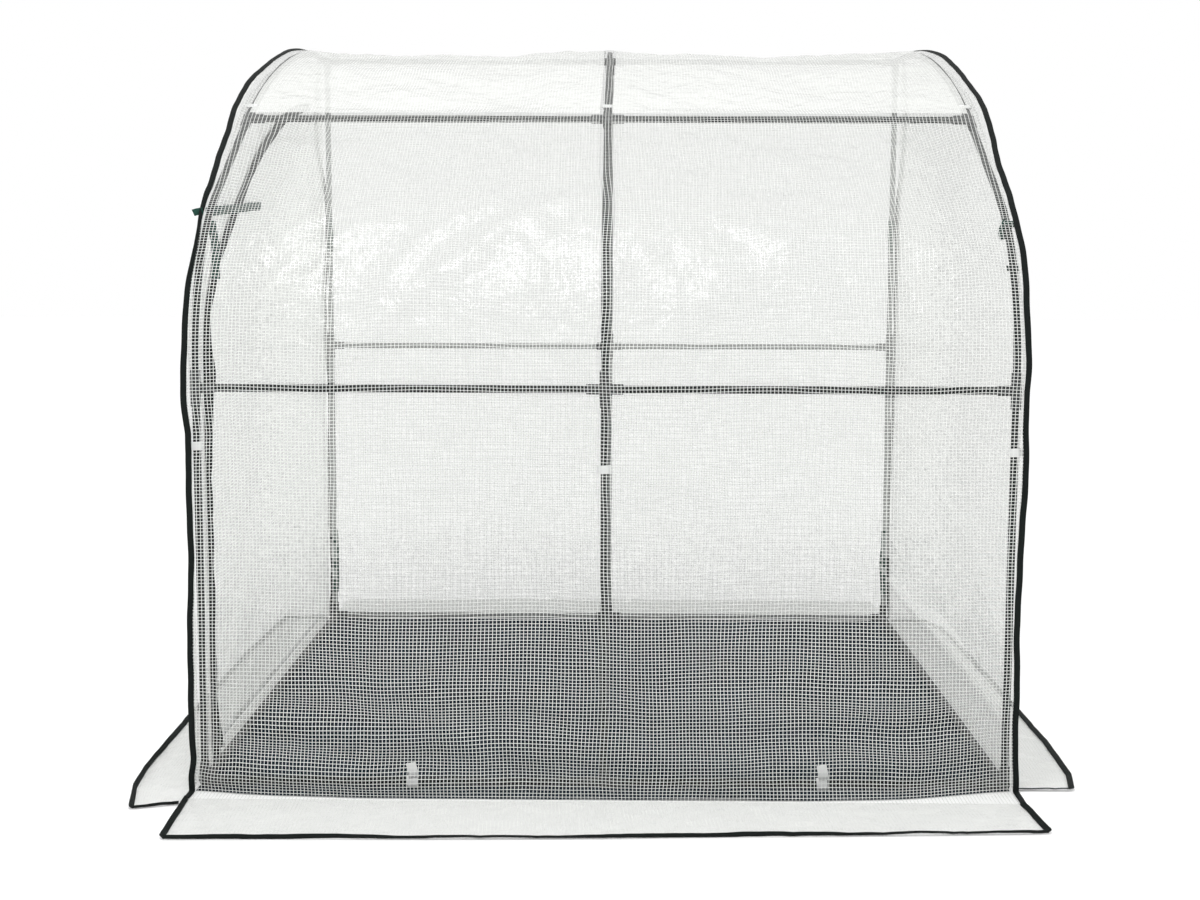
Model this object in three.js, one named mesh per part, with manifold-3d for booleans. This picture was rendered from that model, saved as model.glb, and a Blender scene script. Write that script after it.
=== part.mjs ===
// A mini walk-in greenhouse: a frame of steel tubes pushed into plastic connectors, a cover of
// clear film with a woven grid, a zip door in the left end, ground skirts and a ground sheet.
// The front is upright to half height and then bows back over the roof; the back is upright.
//
// Millimetres. +X is right, +Y is back, +Z is up. The origin is on the ground, at the middle
// of the footprint.

import * as THREE from 'three';
import Module from 'manifold-3d';
import { mergeVertices } from 'three/addons/utils/BufferGeometryUtils.js';

const wasm = await Module();
wasm.setup();

// Driving dimensions ------------------------------------------------------------------------

const BAY = 1000; // from one rib to the next
const DEPTH = 1950; // from the front legs to the back posts
const MID_HEIGHT = 1000; // height of the middle bars
const TOP_HEIGHT = 2000; // height of the top back bar

const TUBE_RADIUS = 9.5;
const TUBE_WALL = 1;
const TUBE_SIDES = 12;
const FIT = 0.3; // clearance all round a tube in its connector
const END_GAP = 0.5; // from the end of a tube to the bottom of its socket

const SLEEVE_RADIUS = 12.8; // outside of a connector's arms
const ARM = 45; // from a connector's centre to the mouth of each arm
const STOP = 14; // from a connector's centre to the bottom of each socket
const HUB = 10; // how far each arm reaches back past the centre

const BOW_RADIUS = 490; // bend of the front tube above the middle bar
const BOW_TURN = THREE.MathUtils.degToRad(60.5); // from straight up, where it meets the upper bar
const ROOF_TURN = THREE.MathUtils.degToRad(63.8); // from straight up, where the roof tube leaves it
const UPPER_DEPTH = 650; // from the front legs back to the upper bar
const TANG = 50; // straight end of the roof tube at the upper bar
const ARC_STEPS = 8;

const FILM = 2; // the film is thickened to a panel of this thickness
const FILM_OFFSET = 15; // from the tubes' centres out to the middle of the front, roof and back film
const END_OFFSET = 20; // from the end ribs' centres out to the middle of the end walls
const FRONT_FLARE = 105; // how far the foot of the front wall stands ahead of the legs
const SEAM_GAP = 0.5; // between film panels that are sewn together on the real cover
const FOLD_GAP = 3; // between a wall and the skirt that folds against it
const WALL_FOOT = 0.5; // height of the walls' lower edges

const SKIRT_REACH = 365; // from the legs out to the edge of the front and back skirts
const SIDE_REACH = 200; // from the end ribs out to the edge of the side skirts
const SIDE_CORNER = 250; // length of the slanting ends of the side skirts
const LEFT_LEAD = 150; // how far the left skirt runs ahead of the front legs

const DOOR_INSET = 180; // from the front leg and bow in to the door's zipped edge
const DOOR_HINGE_DEPTH = 1720; // from the front legs back to the line that the door folds on
const DOOR_FOOT = 40; // height of the door's lower edge
const ZIP_GAP = 16; // between the wall and the door, filled by the zip
const DOOR_GAP = 3; // between the wall and the door at the fold and at the foot

// Worked out from the above -----------------------------------------------------------------

const FRONT_Y = -DEPTH / 2;
const BACK_Y = DEPTH / 2;
const RIBS = { left: -BAY, centre: 0, right: BAY };
const FOOT_HEIGHT = FILM + FIT + SLEEVE_RADIUS + 0.4;
const END_X = BAY + END_OFFSET;
const COVER_HALF_WIDTH = END_X - FILM / 2 - SEAM_GAP;
const HINGE_Y = FRONT_Y + DOOR_HINGE_DEPTH;

// Above the middle bar each rib bends over and runs straight to the upper connector, which turns
// it a little more. From there it bends over the roof until it is level.
const bowCentre = new THREE.Vector2(FRONT_Y + BOW_RADIUS, MID_HEIGHT + ARM);
const bowEnd = onArc(bowCentre, BOW_RADIUS, BOW_TURN);
const upperPoint = new THREE.Vector2(FRONT_Y + UPPER_DEPTH, 0);
upperPoint.y = bowEnd.y + (upperPoint.x - bowEnd.x) / Math.tan(BOW_TURN);
const levelRun = (TOP_HEIGHT - upperPoint.y) * Math.tan(ROOF_TURN);
const roofTangent = levelRun / Math.sin(ROOF_TURN) - TANG;
const roofRadius = roofTangent / Math.tan((Math.PI / 2 - ROOF_TURN) / 2);
const roofCentre = new THREE.Vector2(upperPoint.x + levelRun + roofTangent, TOP_HEIGHT - roofRadius);

// Materials ---------------------------------------------------------------------------------

const tubePaint = new THREE.MeshStandardMaterial({ color: 0x1d2423, roughness: 0.45, metalness: 0.3 });
const connectorPlastic = new THREE.MeshStandardMaterial({ color: 0x15191a, roughness: 0.6, metalness: 0 });
const gridFilm = new THREE.MeshStandardMaterial({
  color: 0xf0f2f0,
  roughness: 0.35,
  metalness: 0,
  transparent: true,
  opacity: 0.45,
});
const groundWeave = new THREE.MeshStandardMaterial({ color: 0x3a444d, roughness: 0.85, metalness: 0 });
const zipMetal = new THREE.MeshStandardMaterial({ color: 0x22282a, roughness: 0.35, metalness: 0.6 });

// Profile of the rib, seen from the side as (depth, height) ---------------------------------

// A point of an arc, after it has turned from straight up by an angle towards the back.
function onArc(centre, radius, turn) {
  return new THREE.Vector2(centre.x - radius * Math.cos(turn), centre.y + radius * Math.sin(turn));
}

function arcPoints(centre, radius, fromTurn, toTurn) {
  const points = [];
  for (let i = 0; i <= ARC_STEPS; i++) {
    points.push(onArc(centre, radius, fromTurn + ((toTurn - fromTurn) * i) / ARC_STEPS));
  }
  return points;
}

// The bow and roof moved inwards by `inset`, from the foot of the bow back to the depth `endY`.
function bowOutline(inset, endY = BACK_Y) {
  const radius = roofRadius - inset;
  const bow = arcPoints(bowCentre, BOW_RADIUS - inset, 0, BOW_TURN);
  const corner = onArc(upperPoint, -inset, (BOW_TURN + ROOF_TURN) / 2);
  if (endY < roofCentre.x) {
    const lastTurn = Math.acos((roofCentre.x - endY) / radius);
    return [...bow, corner, ...arcPoints(roofCentre, radius, ROOF_TURN, lastTurn)];
  }
  const roof = arcPoints(roofCentre, radius, ROOF_TURN, Math.PI / 2);
  return [...bow, corner, ...roof, new THREE.Vector2(endY, TOP_HEIGHT - inset)];
}

// A path through corners in the side view, with one extrusion step from each to the next.
class CornerPath extends THREE.Curve {
  constructor(corners) {
    super();
    this.corners = corners;
    this.steps = corners.length - 1;
  }

  getPoint(t, target = new THREE.Vector3()) {
    const at = t * this.steps;
    const i = THREE.MathUtils.clamp(Math.floor(at), 0, this.steps - 1);
    const point = this.corners[i].clone().lerp(this.corners[i + 1], at - i);
    return target.set(0, point.x, point.y);
  }

  getUtoTmapping(u) {
    return u;
  }
}

// Building blocks ---------------------------------------------------------------------------

const greenhouse = new THREE.Group();
// Profiles drawn as (depth, height) and extruded to the right are put in this group.
const sideView = new THREE.Group();
sideView.quaternion.setFromRotationMatrix(
  new THREE.Matrix4().makeBasis(
    new THREE.Vector3(0, 1, 0),
    new THREE.Vector3(0, 0, 1),
    new THREE.Vector3(1, 0, 0),
  ),
);
greenhouse.add(sideView);

function add(name, geometry, material, parent = greenhouse) {
  const mesh = new THREE.Mesh(geometry, material);
  mesh.name = name;
  parent.add(mesh);
  return mesh;
}

function circlePoints(radius) {
  const points = [];
  for (let i = 0; i < TUBE_SIDES; i++) {
    const angle = (2 * Math.PI * i) / TUBE_SIDES;
    points.push(new THREE.Vector2(radius * Math.cos(angle), radius * Math.sin(angle)));
  }
  return points;
}

function tubeSection() {
  const section = new THREE.Shape(circlePoints(TUBE_RADIUS));
  section.holes.push(new THREE.Path(circlePoints(TUBE_RADIUS - TUBE_WALL).reverse()));
  return section;
}

// A straight tube between two connectors' centres, which stops short in each socket.
function straightTube(name, from, to) {
  const along = to.clone().sub(from);
  const inset = STOP + END_GAP;
  const tube = new THREE.ExtrudeGeometry(tubeSection(), {
    depth: along.length() - 2 * inset,
    steps: 1,
    bevelEnabled: false,
  });
  along.normalize();
  const mesh = add(name, tube, tubePaint);
  mesh.position.copy(from).addScaledVector(along, inset);
  mesh.quaternion.setFromUnitVectors(new THREE.Vector3(0, 0, 1), along);
}

// A bent tube of a rib, which stops short in the sockets at its two ends.
function bentTube(name, x, corners) {
  const inset = STOP + END_GAP;
  const path = new CornerPath(corners.map((corner) => corner.clone()));
  pullBack(path.corners[0], path.corners[1], inset);
  pullBack(path.corners.at(-1), path.corners.at(-2), inset);
  const tube = new THREE.ExtrudeGeometry(tubeSection(), {
    extrudePath: path,
    steps: path.steps,
    bevelEnabled: false,
  });
  add(name, tube, tubePaint).position.x = x;
}

function pullBack(end, next, distance) {
  end.lerp(next, distance / end.distanceTo(next));
}

function toSolid(geometry) {
  const bare = geometry.clone();
  bare.deleteAttribute('normal');
  bare.deleteAttribute('uv');
  const merged = mergeVertices(bare, 1e-4);
  return new wasm.Manifold(
    new wasm.Mesh({
      numProp: 3,
      vertProperties: new Float32Array(merged.attributes.position.array),
      triVerts: new Uint32Array(merged.index.array),
    }),
  );
}

function toGeometry(solid) {
  const { vertProperties, triVerts } = solid.getMesh();
  const geometry = new THREE.BufferGeometry();
  geometry.setAttribute('position', new THREE.BufferAttribute(new Float32Array(vertProperties), 3));
  geometry.setIndex(new THREE.BufferAttribute(new Uint32Array(triVerts), 1));
  geometry.computeVertexNormals();
  return geometry;
}

function join(geometries) {
  return geometries.map(toSolid).reduce((whole, next) => whole.add(next));
}

// A cylinder along `direction`, from one distance past the origin to another.
function rod(direction, radius, from, to) {
  const geometry = new THREE.CylinderGeometry(radius, radius, to - from, TUBE_SIDES);
  geometry.translate(0, (from + to) / 2, 0);
  geometry.applyQuaternion(
    new THREE.Quaternion().setFromUnitVectors(new THREE.Vector3(0, 1, 0), direction),
  );
  return geometry;
}

// A connector with a socket along each direction.
function connector(name, centre, directions) {
  const socketRadius = (TUBE_RADIUS + FIT) / Math.cos(Math.PI / TUBE_SIDES);
  let body = join(directions.map((direction) => rod(direction, SLEEVE_RADIUS, -HUB, ARM)));
  for (const direction of directions) {
    body = body.subtract(toSolid(rod(direction, socketRadius, STOP, ARM + 1)));
  }
  add(name, toGeometry(body), connectorPlastic).position.copy(centre);
}

// A flat panel of the side view, `thickness` wide and centred on x. Outline and holes run the same
// way round, and a hole's path has to run the other way.
function sidePanel(name, x, thickness, outline, holes = []) {
  const shape = new THREE.Shape(outline);
  holes.forEach((hole) => shape.holes.push(new THREE.Path([...hole].reverse())));
  const panel = new THREE.ExtrudeGeometry(shape, { depth: thickness, steps: 1, bevelEnabled: false });
  add(name, panel, gridFilm, sideView).position.z = x - thickness / 2;
}

// A sheet lying on the ground, drawn from above.
function groundPanel(name, corners, material) {
  const shape = new THREE.Shape(corners.map(([x, y]) => new THREE.Vector2(x, y)));
  add(name, new THREE.ExtrudeGeometry(shape, { depth: FILM, steps: 1, bevelEnabled: false }), material);
}

// Frame -------------------------------------------------------------------------------------

const RIGHT = new THREE.Vector3(1, 0, 0);
const LEFT = new THREE.Vector3(-1, 0, 0);
const BACK = new THREE.Vector3(0, 1, 0);
const FRONT = new THREE.Vector3(0, -1, 0);
const UP = new THREE.Vector3(0, 0, 1);
const DOWN = new THREE.Vector3(0, 0, -1);
const TO_ROOF = new THREE.Vector3(0, Math.sin(ROOF_TURN), Math.cos(ROOF_TURN));
const TO_BOW = new THREE.Vector3(0, -Math.sin(BOW_TURN), -Math.cos(BOW_TURN));

// Where the connectors of every rib are, as (depth, height), with the sockets along the rib.
const STATIONS = {
  foot_front: { at: new THREE.Vector2(FRONT_Y, FOOT_HEIGHT), sockets: [UP], rail: BACK },
  mid_front: { at: new THREE.Vector2(FRONT_Y, MID_HEIGHT), sockets: [UP, DOWN] },
  upper: { at: upperPoint, sockets: [TO_ROOF, TO_BOW] },
  top_back: { at: new THREE.Vector2(BACK_Y, TOP_HEIGHT), sockets: [FRONT, DOWN] },
  mid_back: { at: new THREE.Vector2(BACK_Y, MID_HEIGHT), sockets: [UP, DOWN] },
  foot_back: { at: new THREE.Vector2(BACK_Y, FOOT_HEIGHT), sockets: [UP], rail: FRONT },
};

function place(rib, station) {
  const { x: depth, y: height } = STATIONS[station].at;
  return new THREE.Vector3(RIBS[rib], depth, height);
}

const midFront = STATIONS.mid_front.at;
const topBack = STATIONS.top_back.at;
const bowArc = arcPoints(bowCentre, BOW_RADIUS, 0, BOW_TURN);
const roofArc = arcPoints(roofCentre, roofRadius, ROOF_TURN, Math.PI / 2);

for (const rib of Object.keys(RIBS)) {
  straightTube(`rib_${rib}_leg`, place(rib, 'foot_front'), place(rib, 'mid_front'));
  bentTube(`rib_${rib}_bow`, RIBS[rib], [midFront, ...bowArc, upperPoint]);
  bentTube(`rib_${rib}_roof`, RIBS[rib], [upperPoint, ...roofArc, topBack]);
  straightTube(`rib_${rib}_post_upper`, place(rib, 'mid_back'), place(rib, 'top_back'));
  straightTube(`rib_${rib}_post_lower`, place(rib, 'foot_back'), place(rib, 'mid_back'));

  for (const [station, { sockets, rail }] of Object.entries(STATIONS)) {
    const across = { left: [RIGHT], centre: [LEFT, RIGHT], right: [LEFT] }[rib];
    const along = rail && rib !== 'centre' ? [rail] : [];
    connector(`connector_${rib}_${station}`, place(rib, station), [...sockets, ...across, ...along]);
  }
}

for (const station of Object.keys(STATIONS)) {
  straightTube(`bar_${station}_left`, place('left', station), place('centre', station));
  straightTube(`bar_${station}_right`, place('centre', station), place('right', station));
}

for (const side of ['left', 'right']) {
  straightTube(`rail_ground_${side}`, place(side, 'foot_front'), place(side, 'foot_back'));
}

// Cover -------------------------------------------------------------------------------------

const OUTSIDE = FILM_OFFSET + FILM / 2;
const INSIDE = FILM_OFFSET - FILM / 2;

// The roof runs from the middle bar over the bow to the back. Its two faces are parallel curves.
const roofFoot = MID_HEIGHT + SEAM_GAP;
sidePanel('cover_roof', 0, 2 * COVER_HALF_WIDTH, [
  new THREE.Vector2(FRONT_Y - OUTSIDE, roofFoot),
  ...bowOutline(-OUTSIDE),
  new THREE.Vector2(BACK_Y + OUTSIDE, TOP_HEIGHT + OUTSIDE),
  new THREE.Vector2(BACK_Y + OUTSIDE, TOP_HEIGHT + INSIDE),
  ...bowOutline(-INSIDE).reverse(),
  new THREE.Vector2(FRONT_Y - INSIDE, roofFoot),
]);

sidePanel('cover_front', 0, 2 * COVER_HALF_WIDTH, [
  new THREE.Vector2(FRONT_Y - FRONT_FLARE - FILM / 2, WALL_FOOT),
  new THREE.Vector2(FRONT_Y - OUTSIDE, MID_HEIGHT),
  new THREE.Vector2(FRONT_Y - INSIDE, MID_HEIGHT),
  new THREE.Vector2(FRONT_Y - FRONT_FLARE + FILM / 2, WALL_FOOT),
]);

sidePanel('cover_back', 0, 2 * COVER_HALF_WIDTH, [
  new THREE.Vector2(BACK_Y + INSIDE, WALL_FOOT),
  new THREE.Vector2(BACK_Y + OUTSIDE, WALL_FOOT),
  new THREE.Vector2(BACK_Y + OUTSIDE, TOP_HEIGHT + INSIDE - SEAM_GAP),
  new THREE.Vector2(BACK_Y + INSIDE, TOP_HEIGHT + INSIDE - SEAM_GAP),
]);

const endOutline = [
  new THREE.Vector2(FRONT_Y - FRONT_FLARE - FILM / 2, WALL_FOOT),
  new THREE.Vector2(FRONT_Y - OUTSIDE, MID_HEIGHT),
  ...bowOutline(-OUTSIDE),
  new THREE.Vector2(BACK_Y + OUTSIDE, TOP_HEIGHT + OUTSIDE),
  new THREE.Vector2(BACK_Y + OUTSIDE, WALL_FOOT),
];

// The door's outline: up its zipped edge, over the top to the fold, and down the fold.
function doorOutline(inset, foldY, foot) {
  return [
    new THREE.Vector2(foldY, foot),
    new THREE.Vector2(FRONT_Y + inset, foot),
    ...bowOutline(inset, foldY),
  ];
}

const doorway = doorOutline(DOOR_INSET - ZIP_GAP, HINGE_Y + DOOR_GAP, DOOR_FOOT - DOOR_GAP);
sidePanel('end_wall_right', END_X, FILM, endOutline);
sidePanel('end_wall_left', -END_X, FILM, endOutline, [doorway]);
sidePanel('door_panel', -END_X, FILM, doorOutline(DOOR_INSET, HINGE_Y, DOOR_FOOT));

// Skirts and ground sheet -------------------------------------------------------------------

const skirtHalfWidth = END_X - FOLD_GAP;
const skirtEdge = DEPTH / 2 + SKIRT_REACH;
const frontFold = FRONT_Y - FRONT_FLARE - FILM / 2 - FOLD_GAP;
const backFold = BACK_Y + OUTSIDE + FOLD_GAP;
const sideFold = END_X + FILM / 2 + FOLD_GAP;
const sideEdge = BAY + SIDE_REACH;

function strip(halfWidth, nearY, farY) {
  return [[-halfWidth, nearY], [halfWidth, nearY], [halfWidth, farY], [-halfWidth, farY]];
}

// A side skirt's inner edge lies along the wall, and its ends slant out to the full reach.
function sideStrip(side, lead) {
  const frontY = FRONT_Y - lead;
  const taper = (sideEdge - sideFold) / 3;
  const corners = [
    [sideFold, frontY],
    [sideEdge - taper, frontY],
    [sideEdge, frontY + SIDE_CORNER],
    [sideEdge, BACK_Y - SIDE_CORNER],
    [sideEdge - taper, BACK_Y],
    [sideFold, BACK_Y],
  ];
  return corners.map(([x, y]) => [side * x, y]);
}

groundPanel('skirt_front', strip(skirtHalfWidth, -skirtEdge, frontFold), gridFilm);
groundPanel('skirt_back', strip(skirtHalfWidth, backFold, skirtEdge), gridFilm);
groundPanel('skirt_left', sideStrip(-1, LEFT_LEAD), gridFilm);
groundPanel('skirt_right', sideStrip(1, 0), gridFilm);
groundPanel(
  'ground_sheet',
  strip(END_X - FILM / 2 - FOLD_GAP, FRONT_Y - FRONT_FLARE + FILM / 2 + FOLD_GAP, BACK_Y + INSIDE - FOLD_GAP),
  groundWeave,
);

// Zip slider and pull -----------------------------------------------------------------------

const SLIDER = { width: 10, height: 28, thickness: 12, nose: 5 };
const ARCH = { width: 3, leg: 3, bar: 2, space: 4, inner: 8 }; // the loop that holds the pull
const PULL = { width: 10, length: 42, thickness: 2, eyeWidth: 5, eyeLength: 10, lip: 1 };
const SLIDER_HEIGHT = 75; // of the pull's pivot above the ground, with the zip closed

const zipY = FRONT_Y + DOOR_INSET - ZIP_GAP / 2;
const sliderFace = -END_X - SLIDER.thickness / 2; // the slider's outer face
const pivot = new THREE.Vector3(sliderFace - ARCH.space / 2, zipY, SLIDER_HEIGHT);

function block(x0, x1, y0, y1, z0, z1) {
  const geometry = new THREE.BoxGeometry(x1 - x0, y1 - y0, z1 - z0);
  return geometry.translate((x0 + x1) / 2, (y0 + y1) / 2, (z0 + z1) / 2);
}

// The slider, drawn about the pivot: a body that narrows to a nose, with the arch on its outer face.
function sliderSolid() {
  const { width, height, thickness, nose } = SLIDER;
  const outline = new THREE.Shape([
    new THREE.Vector2(-width / 2, height / 2),
    new THREE.Vector2(-width / 2, -height / 4),
    new THREE.Vector2(-nose / 2, -height / 2),
    new THREE.Vector2(nose / 2, -height / 2),
    new THREE.Vector2(width / 2, -height / 4),
    new THREE.Vector2(width / 2, height / 2),
  ]);
  const body = new THREE.ExtrudeGeometry(outline, { depth: thickness, steps: 1, bevelEnabled: false });
  body.applyQuaternion(sideView.quaternion);
  body.translate(ARCH.space / 2, 0, 0);
  const reach = ARCH.space / 2 + ARCH.bar;
  const tall = ARCH.inner / 2 + ARCH.leg;
  const loop = block(-reach, ARCH.space / 2 + 1, -ARCH.width / 2, ARCH.width / 2, -tall, tall);
  const opening = block(
    -ARCH.space / 2, ARCH.space / 2, -ARCH.width, ARCH.width, -ARCH.inner / 2, ARCH.inner / 2,
  );
  return join([body, loop]).subtract(toSolid(opening));
}

// The pull, drawn about the pivot: a flat tab that hangs down, with an eye round the arch.
function pullSolid() {
  const { width, length, thickness, eyeWidth, eyeLength, lip } = PULL;
  const tab = block(-thickness / 2, thickness / 2, -width / 2, width / 2, lip - length, lip);
  const eye = block(-thickness, thickness, -eyeWidth / 2, eyeWidth / 2, -lip - eyeLength, -lip);
  return toSolid(tab).subtract(toSolid(eye));
}

add('zip_slider', toGeometry(sliderSolid()), zipMetal).position.copy(pivot);
add('zip_pull', toGeometry(pullSolid()), zipMetal).position.copy(pivot);

export default greenhouse;
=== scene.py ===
"""The look of the mini walk-in greenhouse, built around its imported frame.

Metres, +X right, +Y back, +Z up, as in the frame. The cover is a film laminated on a woven grid,
so each panel of it is one mesh whose faces are the threads of the grid and the film between them.
"""

import math

import bpy
import numpy as np
from mathutils import Matrix, Vector


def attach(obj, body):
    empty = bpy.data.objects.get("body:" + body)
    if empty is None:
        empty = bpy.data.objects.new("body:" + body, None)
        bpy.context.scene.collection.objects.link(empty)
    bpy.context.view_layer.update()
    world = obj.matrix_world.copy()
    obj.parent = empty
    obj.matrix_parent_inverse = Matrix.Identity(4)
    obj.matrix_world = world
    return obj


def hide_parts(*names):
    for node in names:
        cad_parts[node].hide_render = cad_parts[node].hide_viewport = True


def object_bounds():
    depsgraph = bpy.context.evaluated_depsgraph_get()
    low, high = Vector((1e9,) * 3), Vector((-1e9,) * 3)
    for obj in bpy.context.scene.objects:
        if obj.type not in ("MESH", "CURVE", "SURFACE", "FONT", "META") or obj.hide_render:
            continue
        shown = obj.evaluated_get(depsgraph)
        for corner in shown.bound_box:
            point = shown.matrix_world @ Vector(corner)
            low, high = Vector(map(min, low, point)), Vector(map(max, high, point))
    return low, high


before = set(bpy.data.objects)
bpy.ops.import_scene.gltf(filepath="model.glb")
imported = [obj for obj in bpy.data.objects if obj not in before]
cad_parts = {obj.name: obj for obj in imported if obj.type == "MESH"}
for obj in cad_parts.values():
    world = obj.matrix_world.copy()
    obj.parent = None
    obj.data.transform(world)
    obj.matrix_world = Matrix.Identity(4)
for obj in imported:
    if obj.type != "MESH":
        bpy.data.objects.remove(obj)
cad_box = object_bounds()

# Sizes of the frame, as its solids have them ------------------------------------------------------

BAY = 1.0  # from rib to rib
FRONT, BACK = -0.975, 0.975  # the legs and the posts
MID, TOP = 1.0, 2.0  # the middle bars and the top of the frame
ARM = 0.045  # from a connector's middle to the end of its sleeve
TUBE_RADIUS = 0.0095
FOOT_HEIGHT = 0.0155
BOW_RADIUS = 0.49
BOW_TURN, ROOF_TURN = math.radians(60.5), math.radians(63.8)
UPPER_DEPTH = 0.65  # from the legs back to the upper bar
TANG = 0.05  # the straight end of a roof tube
OUT = 0.015  # from the tubes' centres out to the film
END_X = 1.02  # the end walls
FLARE = 0.105  # how far the foot of the front wall stands ahead of the legs
DOOR_INSET, ZIP_INSET, DOORWAY_INSET = 0.180, 0.172, 0.164
DOOR_FOOT, DOORWAY_FOOT = 0.040, 0.037
HINGE = Vector((-1.021, 0.7465))  # the line that the door folds on
FRONT_FOLD, BACK_FOLD, SIDE_FOLD = -1.084, 0.994, 1.024  # the lines that the skirts fold on

# The cloth ----------------------------------------------------------------------------------------

PITCH_ACROSS, PITCH_UP = 0.00905, 0.00845  # of the woven grid
THREAD = 0.00152  # width of its threads
EDGE_X = 1.0195  # half the width of the front, roof and back panels
LIFT = 0.0012  # height of the cloth that lies on the ground
APRON = 0.12  # film of the front panel beyond the wall's foot, before it is cut to the skirt's fold
EAVE_RADIUS = 0.01  # of the corner between the roof and the back
BINDING_WIDTH, BINDING_THICKNESS = 0.015, 0.0026
STRAP_WIDTH, STRAP_THICKNESS = 0.021, 0.0013
RIBBON_THICKNESS = 0.0011
LOWEST_TAPE = 0.0004  # no tape goes nearer to the ground
SLIVER = 2e-4  # a thread isn't cut nearer to an edge than this


# Small tools --------------------------------------------------------------------------------------


def smooth(t):
    """0 below 0, 1 above 1, and a smooth step between."""
    t = np.clip(t, 0, 1)
    return t * t * (3 - 2 * t)


def unit(v):
    return v / np.maximum(np.linalg.norm(v, axis=-1, keepdims=True), 1e-9)


def link(obj):
    bpy.context.scene.collection.objects.link(obj)
    return obj


def mesh_object(name, points, faces, materials, slots=None, uv=None):
    """A mesh from point, face and UV arrays. faces is an array of quads or a list of polygons."""
    mesh = bpy.data.meshes.new(name)
    sizes = [len(f) for f in faces] if isinstance(faces, list) else [4] * len(faces)
    corners = np.concatenate([np.asarray(f) for f in faces]) if isinstance(faces, list) else faces.ravel()
    mesh.vertices.add(len(points))
    mesh.vertices.foreach_set("co", np.asarray(points, np.float32).ravel())
    mesh.loops.add(len(corners))
    mesh.loops.foreach_set("vertex_index", corners.astype(np.int32))
    mesh.polygons.add(len(sizes))
    mesh.polygons.foreach_set("loop_start", np.concatenate([[0], np.cumsum(sizes)[:-1]]).astype(np.int32))
    if slots is not None:
        mesh.polygons.foreach_set("material_index", np.asarray(slots, np.int32))
    if uv is not None:
        layer = mesh.uv_layers.new(name="Cloth")
        layer.data.foreach_set("uv", np.asarray(uv, np.float32)[corners].ravel())
    for material in materials:
        mesh.materials.append(material)
    mesh.update(calc_edges=True)
    mesh.shade_smooth()
    return link(bpy.data.objects.new(name, mesh))


class Creases:
    """A fixed field of shallow creases: its height, in metres, over cloth coordinates."""

    def __init__(self, seed, shortest, longest, slope, count):
        rng = np.random.default_rng(seed)
        self.waves = []
        for length in np.geomspace(shortest, longest, count):
            turn = rng.uniform(0, math.pi)
            k = 2 * math.pi / length
            self.waves.append((k * math.cos(turn), k * math.sin(turn), slope / k, rng.uniform(0, 6.28, 3)))

    def __call__(self, u, v):
        total = np.zeros_like(u, dtype=float)
        for ku, kv, height, phase in self.waves:
            across, along = ku * u + kv * v, ku * v - kv * u
            bent = across + 0.9 * np.sin(0.31 * along + phase[0]) + phase[1]
            fold = np.arcsin(0.985 * np.sin(bent)) / 1.4
            total += height * fold * (0.55 + 0.45 * np.sin(0.19 * along + phase[2]))
        return total


# The side view ------------------------------------------------------------------------------------


def on_arc(centre, radius, turn):
    """A point of an arc, after it has turned from straight up by an angle towards the back."""
    return np.array([centre[0] - radius * math.cos(turn), centre[1] + radius * math.sin(turn)])


bow_centre = np.array([FRONT + BOW_RADIUS, MID + ARM])
bow_end = on_arc(bow_centre, BOW_RADIUS, BOW_TURN)
upper = np.array([FRONT + UPPER_DEPTH, 0.0])
upper[1] = bow_end[1] + (upper[0] - bow_end[0]) / math.tan(BOW_TURN)
level_run = (TOP - upper[1]) * math.tan(ROOF_TURN)
roof_tangent = level_run / math.sin(ROOF_TURN) - TANG
roof_radius = roof_tangent / math.tan((math.pi / 2 - ROOF_TURN) / 2)
roof_centre = np.array([upper[0] + level_run + roof_tangent, TOP - roof_radius])


def rib_line(offset):
    """The bow and roof as (y, z), moved outwards by offset, from the middle bar to the back."""
    line = [np.array([FRONT - offset, MID])]
    line += [on_arc(bow_centre, BOW_RADIUS + offset, t) for t in np.linspace(0, BOW_TURN, 40)]
    line += [on_arc(upper, offset, (BOW_TURN + ROOF_TURN) / 2)]
    line += [on_arc(roof_centre, roof_radius + offset, t) for t in np.linspace(ROOF_TURN, math.pi / 2, 60)]
    return np.array(line + [np.array([BACK, TOP + offset])])


class Path:
    """A line in the side view, by distance along it, with the direction that faces out of it."""

    def __init__(self, points, step=0.002):
        points = np.asarray(points, float)
        length = np.concatenate([[0], np.cumsum(np.linalg.norm(np.diff(points, axis=0), axis=1))])
        self.length = length[-1]
        self.at = np.linspace(0, self.length, int(self.length / step))
        self.points = np.stack([np.interp(self.at, length, points[:, k]) for k in (0, 1)], 1)
        along = np.gradient(self.points, axis=0)
        soft = np.ones(9) / 9
        along = np.stack([np.convolve(np.pad(along[:, k], 4, "edge"), soft, "valid") for k in (0, 1)], 1)
        along = unit(along)
        self.out = np.stack([-along[:, 1], along[:, 0]], 1)

    def __call__(self, s):
        return [np.interp(s, self.at, a) for a in (*self.points.T, *self.out.T)]

    def nearest(self, y, z):
        """How far along the path its point nearest to (y, z) is."""
        return self.at[np.argmin((self.points[:, 0] - y) ** 2 + (self.points[:, 1] - z) ** 2)]


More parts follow.
